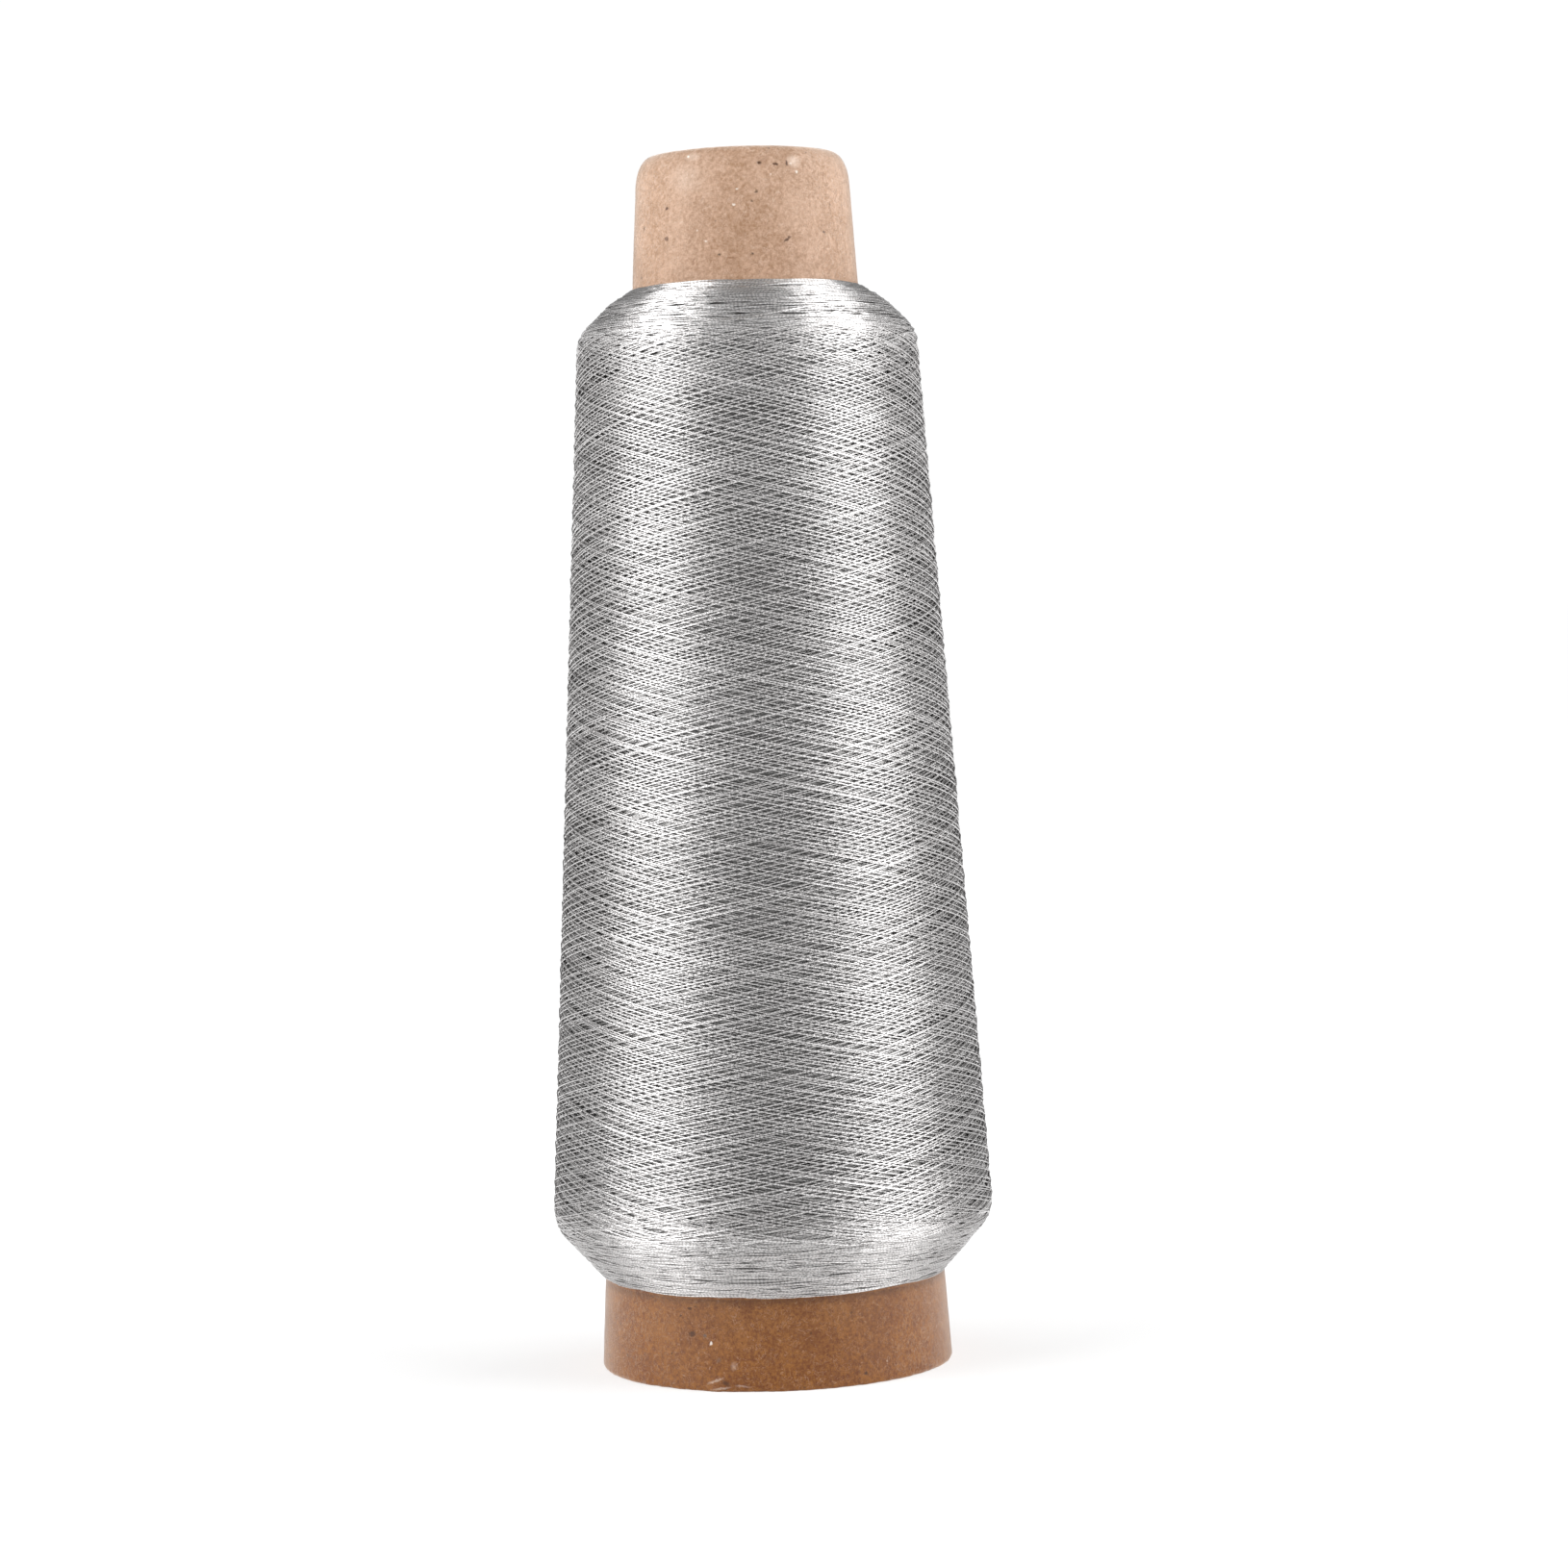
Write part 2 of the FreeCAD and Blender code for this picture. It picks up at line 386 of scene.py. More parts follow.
def shoulder_strands(random, outline, start, end, count, shallow, deep, painted_shade_scale):
    """Older reversals that show on a shoulder, from its corner at start to its far edge at end.

    Each is a nearly level arc that comes up from under the side, turns back and dives again.  Some
    lie just beyond the corner, where they fill the lattice of the side.  The last argument scales
    the tones, and below 1 it paints shade on them.
    """
    strands = []
    towards = 1 if start < end else -1
    beyond = 9 * MM
    share_beyond = 0.22
    end_dip = 0.4 * MM
    dip_under_side = 0.35 * MM
    for _ in range(count):
        if random.uniform(0, 1) < share_beyond:
            tip = start - towards * beyond * random.uniform(0, 1) ** 2
        else:
            tip = start + (end - start) * random.uniform(0, 1)
        middle = random.uniform(0, TURN)
        half = math.radians(random.uniform(22, 75))
        steps = math.ceil(2 * half / (TURN / STEPS_PER_TURN))
        share = np.linspace(-1, 1, steps + 1)
        bend = random.uniform(0.8, 4) * MM
        slope = random.uniform(0.03, 0.26)
        run = half * outline.at(tip)[0] * share
        sag = np.hypot(slope * run, bend) - bend
        distances = np.clip(tip - towards * sag, 0, outline.length)
        under_side = np.clip(towards * (start - distances) / beyond, 0, 1)
        depths = THREAD_RADIUS + random.uniform(shallow, deep) + end_dip * np.abs(share) ** 4
        depths = depths + dip_under_side * np.sqrt(under_side)
        tones = 0.6 * random.uniform(0, 1) + 0.4 * random.uniform(0, 1, steps + 1)
        strands.append(Strand(middle + share * half, distances, depths, painted_shade_scale * tones))
    return strands


def make_thread_bed(outline, material):
    """Closed core of the winding under the strands that are modelled one by one."""
    deep = 1.0 * MM
    shallow = 0.55 * MM
    passage = 2 * MM
    overlap = 0.1 * MM
    corner_low = outline.distance_at_height(LOWER_SHOULDER)
    corner_high = outline.distance_at_height(UPPER_SHOULDER)
    outside = []
    for distance in np.linspace(0, outline.length, 300):
        onto_side = min(distance - corner_low, corner_high - distance) / passage
        depth = shallow + (deep - shallow) * float(np.clip(onto_side, 0, 1))
        across, up, normal_across, normal_up = outline.at(distance)
        outside.append((across - depth * normal_across, up - depth * normal_up))
    top, bottom = outside[-1][1], outside[0][1]
    inside = [(side_radius(height) - overlap, height) for height in np.linspace(top, bottom, 40)]
    turned_piece(
        "thread_bed", outside + inside, SEGMENTS, "thread_winding", material,
        smooth,
    )


# ---------------------------------------------------------------------------
# Paper
# ---------------------------------------------------------------------------

NOSE_INSET = 2.3 * MM  # level reach of the nose's outer rounding
NOSE_DROP = 4.5 * MM  # upright reach of the nose's outer rounding
LIP_ROUND = 1.5 * MM
BASE_INSET = 0.35 * MM
BASE_RISE = 0.7 * MM
FACE_SEGMENTS = 360
TORN_TURN = 251  # degrees; where the face paper is torn at the base edge
TORN_SPREAD = 4.5  # degrees
WORN_HEIGHT = 1.2 * MM  # how far the base edge's wear reaches up


def noise_field(points, angles, size, seed):
    """Smooth noise over a surface of revolution, from about -1 to 1, with lumps of a size."""
    field = np.empty((len(points), len(angles)))
    for row, (radius, height) in enumerate(points):
        for column, angle in enumerate(angles):
            spot = Vector((radius * math.cos(angle), radius * math.sin(angle), height))
            field[row, column] = noise.noise(spot / size + Vector((seed, 0, 0)))
    return field


def lap_share(angles, start, rise, end, fade):
    """Share of a lap's thickness at each angle: it steps up at start and is gone at end.

    rise and fade are how far the step and the fading reach; all four are in degrees.
    """
    degrees = np.degrees(angles)
    stepped = np.clip((degrees - start) / rise, 0, 1)
    faded = np.clip((end - degrees) / fade, 0, 1)
    return (stepped * faded)[None, :]


def outer_path(depth, step):
    """Path at a depth in the wall: up from the base, over the nose and down inside it."""
    rise = BASE_RISE - depth * 0.5
    path = []
    for turn in np.linspace(0, math.pi / 2, 6):
        height = rise * (1 - math.cos(turn))
        path.append((side_radius(height) - depth - BASE_INSET * (1 - math.sin(turn)), height))
    start = HEIGHT - NOSE_DROP
    for height in np.arange(rise + step, start, step):
        path.append((side_radius(height) - depth, height))
    for turn in np.linspace(0, math.pi / 2, 12):
        height = start + (NOSE_DROP - depth) * math.sin(turn)
        bend = (NOSE_INSET - depth) * (1 - math.cos(turn))
        path.append((side_radius(height) - depth - bend, height))
    centre = side_radius(HEIGHT) - 2 * WALL + LIP_ROUND
    for turn in np.linspace(0, math.pi / 2, 8):
        reach = LIP_ROUND - depth
        height = HEIGHT - LIP_ROUND + reach * math.cos(turn)
        path.append((centre - reach * math.sin(turn), height))
    for height in np.arange(HEIGHT - LIP_ROUND - step, HEIGHT - LIP_DEPTH, -step):
        path.append((side_radius(height) - 2 * WALL + depth, height))
    path.append((side_radius(HEIGHT - LIP_DEPTH) - 2 * WALL + depth, HEIGHT - LIP_DEPTH))
    return path


def make_face_ply(material):
    """Outer paper of the cone, over the nose and down inside it, with its lap at the back."""
    outside = outer_path(0, 1.0 * MM)
    underside = outer_path(FACE_PLY, 4.0 * MM)
    lap_thickness = 0.16 * MM

    def relief(points, angles):
        dents = 0.07 * MM * noise_field(points, angles, 14 * MM, seed=1.0)
        fine = 0.03 * MM * noise_field(points, angles, 1.6 * MM, seed=7.0)
        lap = lap_thickness * lap_share(angles, start=72, rise=1.5, end=118, fade=30)
        near_edge = np.exp(-points[:, 1] / WORN_HEIGHT)[:, None]
        fray = 0.1 * MM * near_edge * noise_field(points, angles, 1.3 * MM, seed=3.0)
        from_tear = (np.degrees(angles) - TORN_TURN) / TORN_SPREAD
        torn = np.exp(-(from_tear**2))[None, :] * near_edge
        tatters = 0.35 * MM * torn * (1 + noise_field(points, angles, 0.7 * MM, seed=9.0))
        moved = dents + fine + lap + (fray + tatters)
        moved[len(outside):] = 0
        return moved

    outline = outside + underside[::-1]
    turned_piece(
        "face_ply", outline, FACE_SEGMENTS, "cone_face_ply", material, relief
    )


def make_board(material):
    """Board plies, which show as the cut ring at the base and at the end of the lip."""
    outside = outer_path(FACE_PLY, 4.0 * MM)
    fold = HEIGHT - NOSE_RUN_IN
    lip_end = HEIGHT - LIP_DEPTH
    folded = WALL + LINER_PLY
    deep = FACE_PLY + BOARD
    inside = [
        (side_radius(lip_end) - folded, lip_end),
        (side_radius(fold) - folded, fold),
        (side_radius(fold) - deep, fold),
    ]
    inside.extend((side_radius(height) - deep, height) for height in np.linspace(fold, 0, 40)[1:])
    ring = np.linspace(side_radius(0) - deep, outside[0][0], 8)[1:-1]
    inside.extend((radius, 0) for radius in ring)
    turned_piece(
        "board_plies", outside + inside, SEGMENTS, "cone_board_plies",
        material, smooth,
    )


def make_liner(material):
    """Inner paper against the spindle, doubled where the lip is turned in."""
    fold = HEIGHT - NOSE_RUN_IN
    lip_end = HEIGHT - LIP_DEPTH
    deep = FACE_PLY + BOARD
    outline = [(side_radius(height) - deep, height) for height in np.linspace(0, fold, 40)]
    outline.extend([
        (side_radius(fold) - WALL - LINER_PLY, fold),
        (side_radius(lip_end) - WALL - LINER_PLY, lip_end),
        (side_radius(lip_end) - WALL, lip_end),
    ])
    hidden = len(outline)
    heights = np.linspace(lip_end, 0, 120)[1:]
    outline.extend((side_radius(height) - WALL, height) for height in heights)

    def relief(points, angles):
        seam = 0.1 * MM * lap_share(angles, start=200, rise=1.5, end=240, fade=20)
        dents = 0.06 * MM * noise_field(points, angles, 9 * MM, seed=5.0)
        moved = seam + dents
        moved[:hidden] = 0
        return moved

    turned_piece(
        "liner_ply", outline, SEGMENTS, "cone_liner_ply", material, relief
    )


# ---------------------------------------------------------------------------
# Materials
# ---------------------------------------------------------------------------

def new_material(name):
    """Material with a Principled shader; returns it with its node tree and shader."""
    material = bpy.data.materials.new(name)
    material.use_nodes = True
    tree = material.node_tree
    return material, tree, tree.nodes["Principled BSDF"]


def stops(tree, factor, *places):
    """Colour ramp over a factor; each place is (position, grey level or colour)."""
    node = tree.nodes.new("ShaderNodeValToRGB")
    elements = node.color_ramp.elements
    while len(elements) < len(places):
        elements.new(0.5)
    for element, (position, colour) in zip(elements, places):
        if isinstance(colour, (int, float)):
            colour = (colour, colour, colour)
        element.position = position
        element.color = (*colour, 1)
    tree.links.new(factor, node.inputs["Fac"])
    return node.outputs["Color"]


def place(tree):
    """Place on the object, in metres."""
    return tree.nodes.new("ShaderNodeTexCoord").outputs["Object"]


def length_of(tree, vector):
    """Length of a vector."""
    node = tree.nodes.new("ShaderNodeVectorMath")
    node.operation = "LENGTH"
    tree.links.new(vector, node.inputs[0])
    return node.outputs["Value"]


def carried(tree, value, low, high, to_low=0.0, to_high=1.0):
    """Value carried from the range low to high into another range, and kept inside it."""
    node = tree.nodes.new("ShaderNodeMapRange")
    node.inputs["From Min"].default_value = low
    node.inputs["From Max"].default_value = high
    node.inputs["To Min"].default_value = to_low
    node.inputs["To Max"].default_value = to_high
    tree.links.new(value, node.inputs["Value"])
    return node.outputs["Result"]


def fine_noise(tree, size, detail=2.0, roughness=0.5, distortion=0.0):
    """Noise whose lumps have a size in metres."""
    node = tree.nodes.new("ShaderNodeTexNoise")
    node.inputs["Scale"].default_value = 1 / size
    node.inputs["Detail"].default_value = detail
    node.inputs["Roughness"].default_value = roughness
    node.inputs["Distortion"].default_value = distortion
    tree.links.new(place(tree), node.inputs["Vector"])
    return node.outputs["Fac"]


def mix(tree, factor, first, second, blend="MIX"):
    """Mix two colours; each may be a link or a plain colour, and the factor a link or a number."""
    node = tree.nodes.new("ShaderNodeMix")
    node.data_type = "RGBA"
    node.blend_type = blend
    # the node's sockets for a colour share their names with those for other kinds of value
    factor_socket, first_socket, second_socket = node.inputs[0], node.inputs[6], node.inputs[7]
    colour_out = node.outputs[2]
    values = ((factor_socket, factor), (first_socket, first), (second_socket, second))
    for socket, value in values:
        if isinstance(value, bpy.types.NodeSocket):
            tree.links.new(value, socket)
        elif isinstance(value, tuple):
            socket.default_value = (*value, 1)
        else:
            socket.default_value = value
    return colour_out


def product(tree, first, second):
    """Two masks, or a colour and a mask, multiplied."""
    return mix(tree, 1.0, first, second, "MULTIPLY")


def ragged_place(tree, size, reach):
    """Place on the object, pushed about by noise so that what is drawn there has ragged edges."""
    ragged = tree.nodes.new("ShaderNodeTexNoise")
    ragged.inputs["Scale"].default_value = 1 / size
    tree.links.new(place(tree), ragged.inputs["Vector"])
    centred = tree.nodes.new("ShaderNodeVectorMath")
    centred.operation = "SUBTRACT"
    centred.inputs[1].default_value = (0.5, 0.5, 0.5)
    tree.links.new(ragged.outputs["Color"], centred.inputs[0])
    moved = tree.nodes.new("ShaderNodeVectorMath")
    moved.operation = "MULTIPLY_ADD"
    moved.inputs[1].default_value = (reach, reach, reach)
    tree.links.new(centred.outputs["Vector"], moved.inputs[0])
    tree.links.new(place(tree), moved.inputs[2])
    return moved.outputs["Vector"]


def spots(tree, cell, smallest, largest, share):
    """Ragged spots on a share of the cells of a random pattern; cell and spot sizes in metres."""
    node = tree.nodes.new("ShaderNodeTexVoronoi")
    node.inputs["Scale"].default_value = 1 / cell
    tree.links.new(ragged_place(tree, 0.5 * MM, 0.6 * MM), node.inputs["Vector"])
    near = stops(tree, node.outputs["Distance"], (smallest / cell, 1), (largest / cell, 0))
    chosen = stops(tree, node.outputs["Color"], (1 - share, 0), (1 - share + 0.02, 1))
    return product(tree, near, chosen)


def bump(tree, shader, height, strength, distance):
    """Raise the shader's surface by a height pattern."""
    node = tree.nodes.new("ShaderNodeBump")
    node.inputs["Strength"].default_value = strength
    node.inputs["Distance"].default_value = distance
    tree.links.new(height, node.inputs["Height"])
    tree.links.new(node.outputs["Normal"], shader.inputs["Normal"])


def height_share(tree, low, high):
    """Share from 0 to 1 of the way from one height to another."""
    split = tree.nodes.new("ShaderNodeSeparateXYZ")
    tree.links.new(place(tree), split.inputs["Vector"])
    return carried(tree, split.outputs["Z"], low, high)


def mark(tree, where, turn, height, width, tall, lean, soft):
    """Mask of one oval mark on the cone's side; lengths in mm and angles in degrees."""
    through = 3 * MM
    local = tree.nodes.new("ShaderNodeMapping")
    local.vector_type = "TEXTURE"
    angle = math.radians(turn)
    radius = side_radius(height * MM)
    centre = (radius * math.cos(angle), radius * math.sin(angle), height * MM)
    local.inputs["Location"].default_value = centre
    local.inputs["Rotation"].default_value = (math.radians(lean), 0, angle)
    local.inputs["Scale"].default_value = (through, width * MM / 2, tall * MM / 2)
    tree.links.new(where, local.inputs["Vector"])
    return stops(tree, length_of(tree, local.outputs["Vector"]), (0.9 - soft, 1), (0.95, 0))


DARK_SPECK = (0.02, 0.01, 0.005)
DARK_STAIN = (0.07, 0.022, 0.004)
BROWN_STAIN = (0.24, 0.12, 0.06)
GREY_STAIN = (0.13, 0.09, 0.07)
WHITE_FLECK = (0.8, 0.74, 0.67)
PALE_WEAR_AND_HIGHLIGHT = (0.74, 0.59, 0.49)

# Single marks on the cone: turn angle in degrees, height, width and tallness in mm, lean
# in degrees, how soft the edge is, strength and colour.
FACE_MARKS = (
    # The soft pale marks at -118, -121 and -61 degrees on the nose are painted highlights, where the
    # lights fall on its rounding; the pale marks at the base are wear at the tear.
    (-118, 188.6, 3.6, 1.8, 0, 0.8, 0.5, PALE_WEAR_AND_HIGHLIGHT),
    (-121, 185.2, 7.0, 6.0, 0, 0.85, 0.3, PALE_WEAR_AND_HIGHLIGHT),
    (-121, 188.7, 0.5, 0.4, 0, 0.3, 0.9, WHITE_FLECK),
    (-61, 187.4, 3.0, 2.6, 0, 0.8, 0.7, PALE_WEAR_AND_HIGHLIGHT),
    (-60, 185.8, 0.6, 0.5, 30, 0.4, 0.9, WHITE_FLECK),
    (-63, 187.0, 0.3, 0.5, 0, 0.4, 0.8, WHITE_FLECK),
    (-78, 187.4, 2.8, 2.4, 0, 0.8, 0.5, BROWN_STAIN),
    (-80.5, 187.1, 1.0, 0.7, 0, 0.4, 1.0, DARK_STAIN),
    (-72, 186.9, 1.3, 0.45, 0, 0.4, 1.0, DARK_STAIN),
    (-65.4, 187.1, 0.5, 1.3, 0, 0.4, 1.0, DARK_STAIN),
    (-133.5, 180.9, 0.9, 0.65, 0, 0.4, 1.0, DARK_STAIN),
    (-133.5, 176.3, 1.1, 0.9, 0, 0.4, 1.0, DARK_STAIN),
    (-67.5, 175.4, 2.0, 0.5, 35, 0.4, 1.0, DARK_STAIN),
    (-94.6, 180.8, 0.7, 0.4, 0, 0.4, 0.9, WHITE_FLECK),
    (-92.8, 183.2, 0.6, 0.35, 0, 0.4, 0.7, WHITE_FLECK),
    (-109.5, 175.4, 0.5, 0.4, 0, 0.4, 0.8, WHITE_FLECK),
    (-97, 172.7, 1.8, 0.35, -8, 0.4, 0.9, BROWN_STAIN),
    (-116.5, 172.3, 0.35, 1.6, 0, 0.4, 0.9, BROWN_STAIN),
    (-42, 185.3, 0.4, 1.8, -15, 0.4, 0.8, BROWN_STAIN),
    (-118.7, 8.6, 1.6, 1.15, 15, 0.4, 1.0, DARK_STAIN),
    (-114, 8.4, 0.9, 0.8, 0, 0.5, 0.9, GREY_STAIN),
    (-119.6, 12.5, 1.0, 0.65, 0, 0.4, 0.9, DARK_STAIN),
    (-117.3, 12.8, 0.9, 0.5, 0, 0.4, 0.9, DARK_STAIN),
    (-111.9, 7.3, 0.55, 0.7, 0, 0.4, 0.9, WHITE_FLECK),
    (-104.2, 3.9, 1.4, 1.7, 0, 0.8, 0.3, PALE_WEAR_AND_HIGHLIGHT),
    (-109.3, 4.8, 1.1, 1.0, 0, 0.7, 0.7, GREY_STAIN),
    (-106.8, 1.3, 1.8, 0.9, -25, 0.4, 0.9, DARK_STAIN),
    (-110.5, 1.6, 3.6, 0.55, 20, 0.6, 0.45, PALE_WEAR_AND_HIGHLIGHT),
    (-108.5, 0.5, 4.2, 0.5, 8, 0.6, 0.4, PALE_WEAR_AND_HIGHLIGHT),
    (-101.5, 0.9, 3.0, 0.45, -5, 0.6, 0.35, PALE_WEAR_AND_HIGHLIGHT),
)


def mottled(tree, pulp, dark, light):
    """Colour of the pulp, with larger patches of darker and lighter paper."""
    colour = mix(tree, stops(tree, pulp, (0.4, 0), (0.6, 1)), dark, light)
    patches = fine_noise(tree, 6 * MM, detail=5.0, roughness=0.65)
    colour = mix(tree, stops(tree, patches, (0.36, 0.45), (0.52, 0.0)), colour, dark)
    return mix(tree, stops(tree, patches, (0.5, 0.0), (0.64, 0.35)), colour, light)


def fibred(tree, colour, pale_lines, dark, light):
    """Colour with broken pale fibres and thin dark ones on it."""
    pale = mix(tree, 0.12, light, WHITE_FLECK)
    gaps = stops(tree, fine_noise(tree, 1.6 * MM), (0.44, 0), (0.52, 1.0))
    colour = mix(tree, product(tree, pale_lines, gaps), colour, pale)
    strands = fine_noise(tree, 1.6 * MM, distortion=2.2)
    dark_lines = stops(tree, strands, (0.482, 0), (0.5, 0.7), (0.518, 0))
    return mix(tree, dark_lines, colour, dark)


def specked(tree, colour, deep, dark, light):
    """Colour with dark dots, smaller crumbs and pale flecks on it."""
    dots = spots(tree, 2.4 * MM, 0.1 * MM, 0.3 * MM, 0.4)
    colour = mix(tree, dots, colour, deep)
    crumbs = spots(tree, 1.3 * MM, 0.05 * MM, 0.2 * MM, 0.5)
    colour = mix(tree, crumbs, colour, dark)
    flecks = spots(tree, 3.1 * MM, 0.06 * MM, 0.22 * MM, 0.35)
    return mix(tree, flecks, colour, mix(tree, 0.35, light, WHITE_FLECK))


def worn_edge_and_painted_shade(tree, colour, pulp, deep, light):
    """Colour that is pale at the base's edge from wear, and has painted shade just under the
    winding.
    """
    edge = stops(tree, height_share(tree, 0, 1 * MM), (0.25, 0.5), (0.7, 0.0))
    colour = mix(tree, product(tree, edge, pulp), colour, light)
    # painted shade: a darker band on the paper just under the winding's overhang
    near_thread = height_share(tree, WINDING_START - 1.2 * MM, WINDING_START + 1.2 * MM)
    painted_shade_under_winding = stops(tree, near_thread, (0.0, 0.0), (0.5, 0.5), (0.6, 0.0))
    return mix(tree, painted_shade_under_winding, colour, deep)


def marked(tree, colour, marks):
    """Colour with single marks on it, each a little broken up."""
    where = ragged_place(tree, 0.4 * MM, 0.5 * MM)
    broken = stops(tree, fine_noise(tree, 0.45 * MM, detail=3.0), (0.36, 0.65), (0.54, 1.0))
    for turn, height, width, tall, lean, soft, strength, mark_colour in marks:
        mask = mark(tree, where, turn, height, width, tall, lean, soft)
        shown = product(tree, mask, (strength, strength, strength))
        colour = mix(tree, product(tree, shown, broken), colour, mark_colour)
    return colour


def kraft_material(name, at_base, at_nose, marks):
    """Kraft paper: mottled pulp, fine fibres, dark and pale specks, and single marks.

    at_base and at_nose each hold a dark and a light colour at that end; the colour runs from one to
    the other with height.
    """
    material, tree, shader = new_material(name)
    rise = height_share(tree, 0, HEIGHT)
    dark = mix(tree, rise, at_base[0], at_nose[0])
    light = mix(tree, rise, at_base[1], at_nose[1])
    deep = mix(tree, 0.7, dark, DARK_SPECK)

    pulp = fine_noise(tree, 0.6 * MM, detail=7.0, roughness=0.8)
    fibres = fine_noise(tree, 1.5 * MM, distortion=2.4)
    pale_lines = stops(tree, fibres, (0.45, 0), (0.475, 1.0), (0.5, 0))
    colour = mottled(tree, pulp, dark, light)
    colour = fibred(tree, colour, pale_lines, dark, light)
    colour = specked(tree, colour, deep, dark, light)
    colour = worn_edge_and_painted_shade(tree, colour, pulp, deep, light)
    colour = marked(tree, colour, marks)
    tree.links.new(colour, shader.inputs["Base Color"])

    rough = stops(tree, pulp, (0.3, 0.4), (0.7, 0.52))
    tree.links.new(rough, shader.inputs["Roughness"])
    shader.inputs["Specular IOR Level"].default_value = 0.4
    shader.inputs["Sheen Weight"].default_value = 1.0
    shader.inputs["Sheen Roughness"].default_value = 0.33
    shader.inputs["Sheen Tint"].default_value = (1, 0.93, 0.86, 1)
    bump(tree, shader, mix(tree, 0.4, pulp, pale_lines), strength=0.5, distance=0.18 * MM)
    return material


def wave(tree, value, period):
    """Value folded into a rise and fall of a period, from 0 to 1 and back."""
    folded = tree.nodes.new("ShaderNodeMath")
    folded.operation = "PINGPONG"
    folded.inputs[1].default_value = period / 2
    tree.links.new(value, folded.inputs[0])
    scaled = tree.nodes.new("ShaderNodeMath")
    scaled.operation = "DIVIDE"
    scaled.inputs[1].default_value = period / 2
    tree.links.new(folded.outputs["Value"], scaled.inputs[0])
    return scaled.outputs["Value"]


def board_material(name):
    """Cut grey board: its rolled plies show as rings."""
    ply_pitch = 0.38 * MM
    material, tree, shader = new_material(name)
    split = tree.nodes.new("ShaderNodeSeparateXYZ")
    tree.links.new(place(tree), split.inputs["Vector"])
    level = tree.nodes.new("ShaderNodeCombineXYZ")
    tree.links.new(split.outputs["X"], level.inputs["X"])
    tree.links.new(split.outputs["Y"], level.inputs["Y"])
    rings = wave(tree, length_of(tree, level.outputs["Vector"]), ply_pitch)
    plies = stops(tree, rings, (0.0, (0.2, 0.14, 0.1)), (0.5, (0.34, 0.25, 0.18)))
    pulp = fine_noise(tree, 0.5 * MM, detail=6.0, roughness=0.7)
    colour = mix(tree, stops(tree, pulp, (0.35, 0), (0.65, 0.6)), plies, (0.42, 0.33, 0.25))
    tree.links.new(colour, shader.inputs["Base Color"])
    shader.inputs["Roughness"].default_value = 0.9
    bump(tree, shader, pulp, strength=0.6, distance=0.25 * MM)
    return material


def thread_material(name, dark, bright):
    """Bright film wrapped round a core: every strand has its tone, and glints from its twist are
    painted into its colour.
    """
    material, tree, shader = new_material(name)
    tone = tree.nodes.new("ShaderNodeAttribute")
    tone.attribute_name = "tone"
    colour = stops(tree, tone.outputs["Fac"], (0.1, dark), (0.9, bright))
    along = tree.nodes.new("ShaderNodeAttribute")
    along.attribute_name = "length_along"
    uneven = tree.nodes.new("ShaderNodeMath")
    uneven.operation = "MULTIPLY_ADD"
    uneven.inputs[1].default_value = 0.9 * MM
    tree.links.new(fine_noise(tree, 0.8 * MM, detail=1.0), uneven.inputs[0])
    tree.links.new(along.outputs["Fac"], uneven.inputs[2])
    # painted glints: the colour brightens and darkens along each strand at the twist's pitch
    wraps = wave(tree, uneven.outputs["Value"], TWIST_PITCH)
    painted_glints = stops(tree, wraps, (0.15, 0.62), (0.6, 1.0))
    tree.links.new(product(tree, colour, painted_glints), shader.inputs["Base Color"])
    shader.inputs["Metallic"].default_value = 1.0
    shader.inputs["Roughness"].default_value = 0.32
    return material


# ---------------------------------------------------------------------------
# Studio and camera
# ---------------------------------------------------------------------------

FLOOR_GREY = 0.5
NEAR_GLOW = 0.48  # the floor's own light under the object, and far from it
FAR_GLOW = 0.92
FILL = 0.2  # light from the surroundings


def link_object(name, data):
    """New object of the data in the scene."""
    thing = bpy.data.objects.new(name, data)
    bpy.context.scene.collection.objects.link(thing)
    return thing


def make_camera():
    """Long lens a little above the winding's middle, rolled a little as in a hand-held shot."""
    distance = 0.640
    eye_height = 0.119
    down = 0.0433
    aside = 0.0058
    roll = 0.0302
    data = bpy.data.cameras.new("camera")
    data.sensor_width = 36
    data.lens = 93.14
    data.clip_start = 0.01
    camera = link_object("camera", data)
    turn = Matrix.Rotation(-aside, 4, "Z") @ Matrix.Rotation(math.pi / 2 - down, 4, "X")
    camera.matrix_world = (
        Matrix.Translation((0, -distance, eye_height)) @ turn @ Matrix.Rotation(-roll, 4, "Z")
    )
    bpy.context.scene.camera = camera


def make_softbox(name, azimuth, height, power):
    """Rectangular light that faces the cone's middle; azimuth 0 is behind the camera."""
    distance = 0.9
    width = 0.85
    tall = 1.1
    data = bpy.data.lights.new(name, "AREA")
    data.shape = "RECTANGLE"
    data.size = width
    data.size_y = tall
    data.energy = power
    light = link_object(name, data)
    angle = math.radians(azimuth)
    where = Vector((distance * math.sin(angle), -distance * math.cos(angle), height))
    aim = Vector((0, 0, HEIGHT / 2)) - where
    light.location = where
    light.rotation_euler = aim.to_track_quat("-Z", "Y").to_euler()
    light.visible_camera = False
    return light


def make_world():
    """White surroundings behind the object, which light it no more than a dim grey room would.

    They look as bright as the floor does far from the lights, so that no horizon shows.
    """
    world = bpy.data.worlds.new("studio")
    bpy.context.scene.world = world
    world.use_nodes = True
    tree = world.node_tree
    background = tree.nodes["Background"]
    background.inputs["Color"].default_value = (1, 1, 1, 1)
    path = tree.nodes.new("ShaderNodeLightPath")
    shown = FAR_GLOW + FLOOR_GREY * FILL
    strength = carried(tree, path.outputs["Is Camera Ray"], 0, 1, FILL, shown)
    tree.links.new(strength, background.inputs["Strength"])


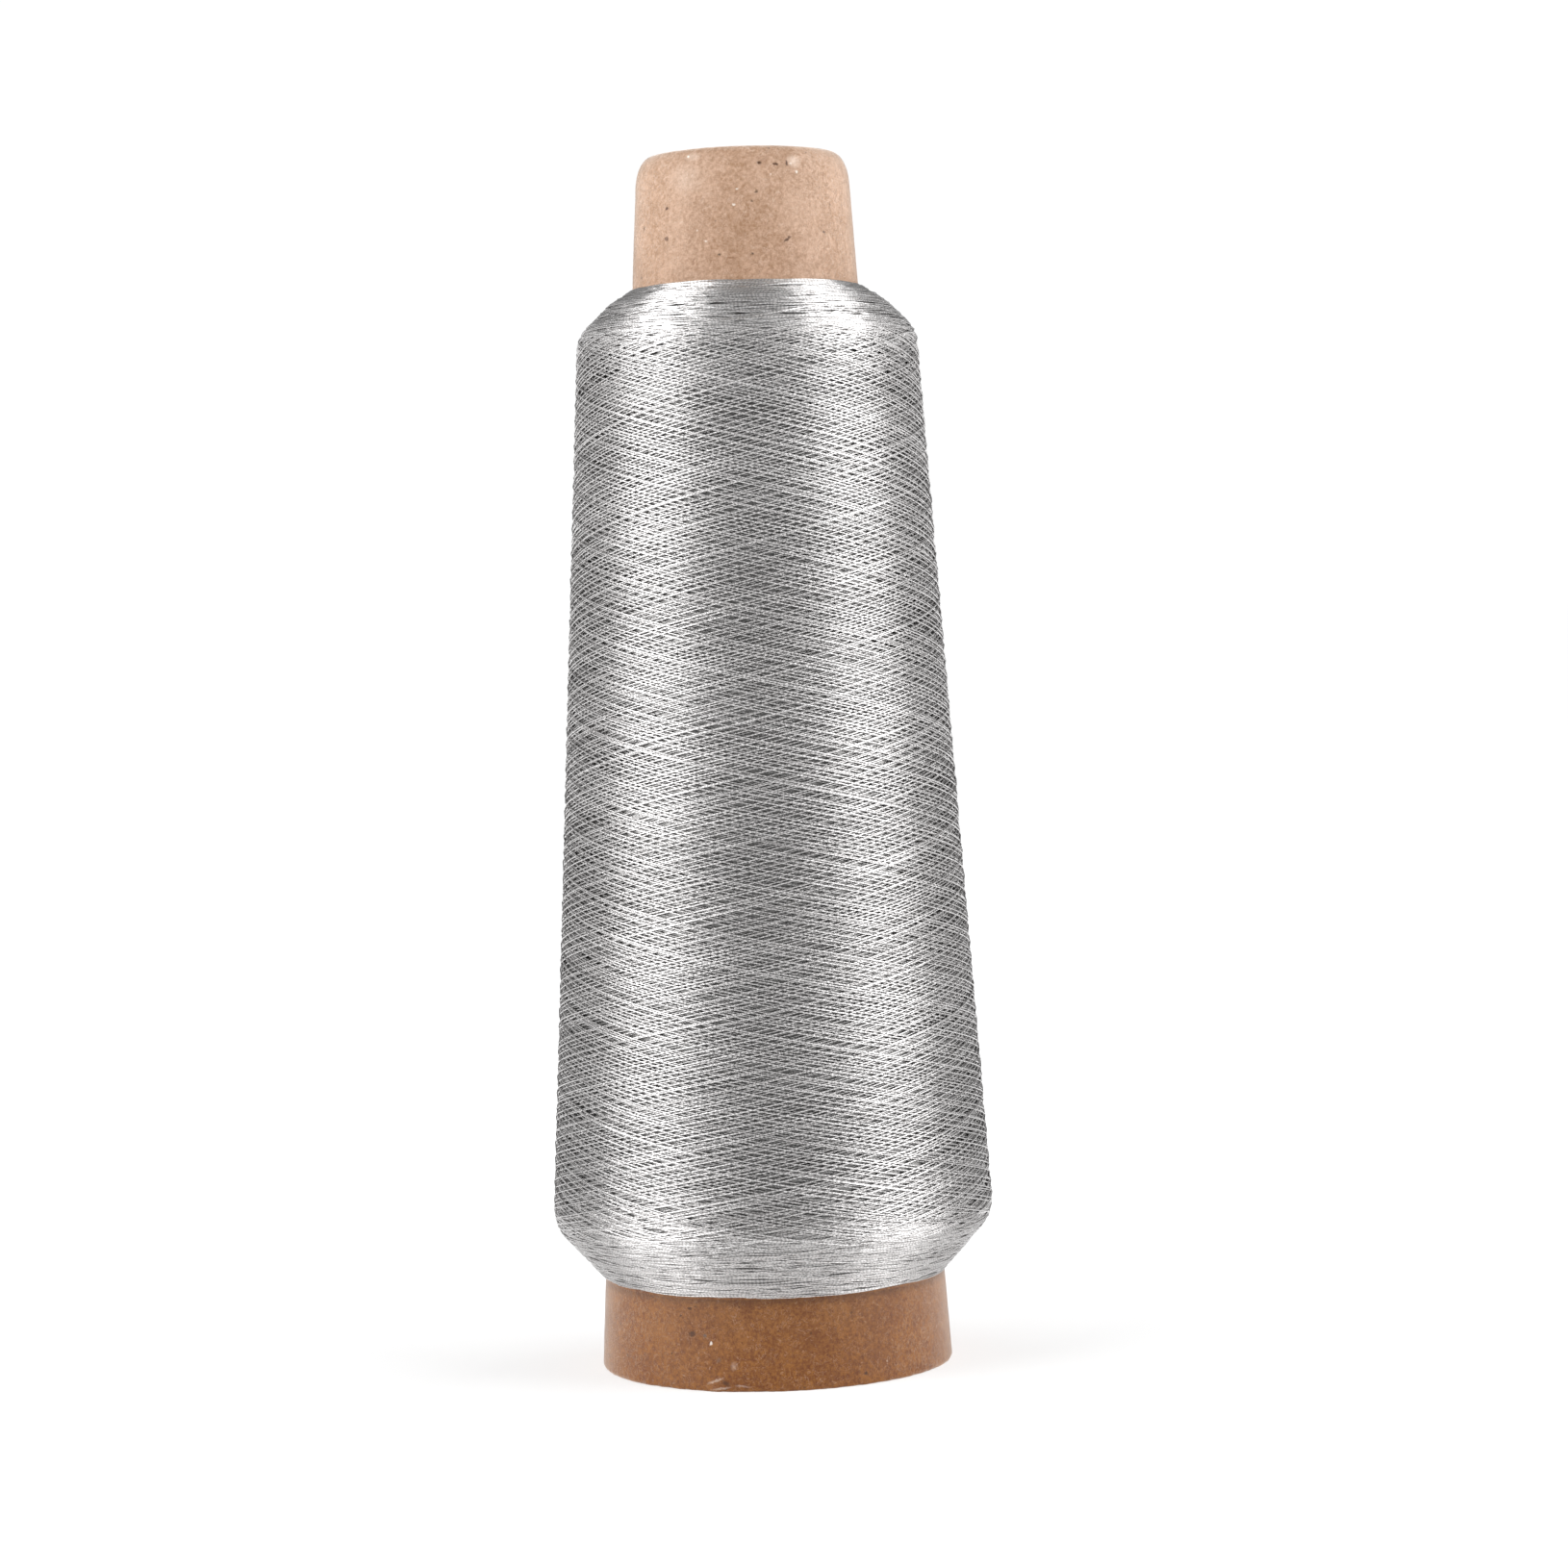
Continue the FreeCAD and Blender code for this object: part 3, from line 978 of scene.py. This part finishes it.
def make_floor():
    """Plain pale floor, luminous like a light table so that it stays even far from the lights."""
    half = 30.0
    near = 0.1
    far = 0.9
    corners = [(-half, -half, 0), (half, -half, 0), (half, half, 0), (-half, half, 0)]
    mesh = bpy.data.meshes.new("floor")
    mesh.from_pydata(corners, [], [(0, 1, 2, 3)])
    material, tree, shader = new_material("pale_floor")
    shader.inputs["Base Color"].default_value = (FLOOR_GREY, FLOOR_GREY, FLOOR_GREY, 1)
    shader.inputs["Roughness"].default_value = 0.9
    shader.inputs["Specular IOR Level"].default_value = 0
    shader.inputs["Emission Color"].default_value = (1, 1, 1, 1)
    glow = carried(tree, length_of(tree, place(tree)), near, far, NEAR_GLOW, FAR_GLOW)
    tree.links.new(glow, shader.inputs["Emission Strength"])
    mesh.materials.append(material)
    link_object("floor", mesh)


# ---------------------------------------------------------------------------
# Making
# ---------------------------------------------------------------------------

make_camera()
make_floor()
make_world()
make_softbox("left_softbox", azimuth=-66, height=0.55, power=11.3)
make_softbox("right_softbox", azimuth=70, height=0.55, power=10.5)
# These brighten the paper's edges, and the thread doesn't mirror them.
for name, azimuth, power in (("left_edge_light", -115, 6.3), ("right_edge_light", 115, 7.9)):
    edge_light = make_softbox(name, azimuth, height=0.4, power=power)
    edge_light.visible_glossy = False

# The face's colours run paler towards the nose; in part this is painted light, from the light that
# falls on the nose from above.
kraft = kraft_material(
    "kraft_face",
    at_base=((0.125, 0.03, 0.001), (0.28, 0.105, 0.014)),
    at_nose=((0.3, 0.168, 0.091), (0.53, 0.35, 0.248)),
    marks=FACE_MARKS,
)
kraft_inside = kraft_material(
    "kraft_liner",
    at_base=((0.27, 0.15, 0.08), (0.42, 0.25, 0.15)),
    at_nose=((0.36, 0.22, 0.13), (0.5, 0.33, 0.22)),
    marks=(),
)
make_face_ply(kraft)
make_board(board_material("grey_board"))
make_liner(kraft_inside)

random = np.random.default_rng(SEED)
outline = winding_outline()
silver = thread_material("silver_thread", (0.64, 0.625, 0.62), (0.95, 0.935, 0.93))
# The under and core materials are darker copies of the silver thread: painted shade on the thread
# that lies deeper in the winding.
under = thread_material("silver_thread_under_painted_shade", (0.55, 0.54, 0.535), (0.78, 0.77, 0.765))
core = thread_material("silver_thread_core_painted_shade", (0.28, 0.275, 0.27), (0.46, 0.455, 0.45))
make_thread_bed(outline, core)
upper_layer_depth = THREAD_RADIUS + LAYER_DEPTH
lower_layer_depth = upper_layer_depth + LAYER_DEPTH
wound_layer(
    random, "lower_thread", outline, LOWER_CYCLES, 2, lower_layer_depth, LOWER_SIDES, under
)
wound_layer(
    random, "upper_thread", outline, UPPER_CYCLES, 3, upper_layer_depth, THREAD_SIDES, silver
)

lower_corner = outline.distance_at_height(LOWER_SHOULDER)
upper_corner = outline.distance_at_height(UPPER_SHOULDER)
off_edge = 0.1 * MM
shoulders = (
    # name, where it starts and ends along the outline, share of the arcs, and a tone scale: the
    # lower shoulder's 0.4 is painted shade
    ("lower_shoulder", lower_corner, off_edge, 1.2, 0.4),
    ("upper_shoulder", upper_corner, outline.length - off_edge, 1.0, 1.0),
)
for name, corner, far_edge, share, painted_shade_scale in shoulders:
    under_strands = shoulder_strands(
        random, outline, corner, far_edge, round(UNDER_ARCS * share), *UNDER_DEPTHS, painted_shade_scale
    )
    top_strands = shoulder_strands(
        random, outline, corner, far_edge, round(TOP_ARCS * share), *TOP_DEPTHS, painted_shade_scale
    )
    strand_piece(f"{name}_under_thread", under_strands, outline, THREAD_SIDES, under)
    strand_piece(f"{name}_thread", top_strands, outline, THREAD_SIDES, silver)

bpy.context.scene.view_settings.view_transform = "Standard"
